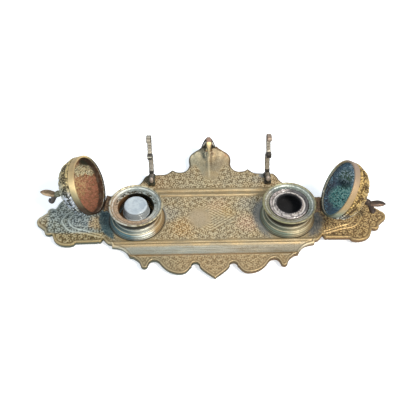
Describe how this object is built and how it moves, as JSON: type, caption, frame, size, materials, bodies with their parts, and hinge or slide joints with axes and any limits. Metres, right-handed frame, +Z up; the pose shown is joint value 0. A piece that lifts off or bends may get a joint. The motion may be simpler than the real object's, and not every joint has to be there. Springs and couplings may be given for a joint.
{
  "type": "desk inkstand",
  "caption": "Free-standing brass desk inkstand: a shaped tray with hinged-lid inkwells, lift-out ink holders and upright pen rests.",
  "frame": {"origin": "on the table, under the middle of the tray's footprint", "axes": "+X along the tray's length to the user's right, +Y towards the back lobe, +Z up"},
  "size_m": [0.36, 0.1668, 0.0843],
  "materials": {
    "tray_brass": "cast and engraved, worn patina",
    "leaf_brass": "cast, darkened in the hollows",
    "bowl_brass": "turned and polished",
    "left_lid_brass": "polished band, embossed dome, copper-red inside",
    "right_lid_brass": "polished band, embossed dome, verdigris inside",
    "hinge_brass": "copper-toned, worn",
    "finial_bronze": "dark brown patina",
    "rest_brass": "grey-brown patina, bright edges",
    "screw_brass": "dull",
    "foot_brass": "dull",
    "pot_glaze": "glazed white",
    "cap_glaze": "glazed white, faint blue",
    "liner_glass": "moulded glass, ink-stained"
  },
  "bodies": {
    "stand": {"tray": "tray_brass", "back_leaf": "leaf_brass", "left_foot_ring": "bowl_brass", "left_bowl": "bowl_brass", "left_bowl_screw": "screw_brass", "left_bowl_washer": "screw_brass", "left_bowl_nut": "screw_brass", "left_bowl_hinge": "hinge_brass", "left_hinge_pin": "screw_brass", "left_pen_rest": "rest_brass", "right_foot_ring": "bowl_brass", "right_bowl": "bowl_brass", "right_bowl_screw": "screw_brass", "right_bowl_washer": "screw_brass", "right_bowl_nut": "screw_brass", "right_bowl_hinge": "hinge_brass", "right_hinge_pin": "screw_brass", "right_pen_rest": "rest_brass", "pen_rest_screws": "screw_brass", "front_left_foot": "foot_brass", "front_right_foot": "foot_brass", "back_left_foot": "foot_brass", "back_right_foot": "foot_brass"},
    "left_cover": {"left_lid": "left_lid_brass", "left_lid_hinge": "hinge_brass", "left_finial": "finial_bronze", "left_finial_nut": "finial_bronze"},
    "right_cover": {"right_lid": "right_lid_brass", "right_lid_hinge": "hinge_brass", "right_finial": "finial_bronze", "right_finial_nut": "finial_bronze"},
    "pot": {"ink_pot": "pot_glaze"},
    "cap": {"pot_cap": "cap_glaze"},
    "liner": {"glass_liner": "liner_glass"}
  },
  "joints": [
    {"name": "left_lid_hinge_joint", "type": "hinge", "parent": "stand", "child": "left_cover", "pos_m": [-0.10696, -0.00657, 0.0305], "axis": [-0.1115, -0.9938, 0], "range_deg": [-113, 0]},
    {"name": "right_lid_hinge_joint", "type": "hinge", "parent": "stand", "child": "right_cover", "pos_m": [0.10702, -0.01271, 0.0305], "axis": [0.0941, 0.9956, 0], "range_deg": [-115, 0]},
    {"name": "pot_lift", "type": "slide", "parent": "stand", "child": "pot", "axis": [0, 0, 1], "range_m": [0, 0.05]},
    {"name": "cap_lift", "type": "slide", "parent": "pot", "child": "cap", "axis": [0, 0, 1], "range_m": [0, 0.02]},
    {"name": "liner_lift", "type": "slide", "parent": "stand", "child": "liner", "axis": [0, 0, 1], "range_m": [0, 0.05]}
  ]
}
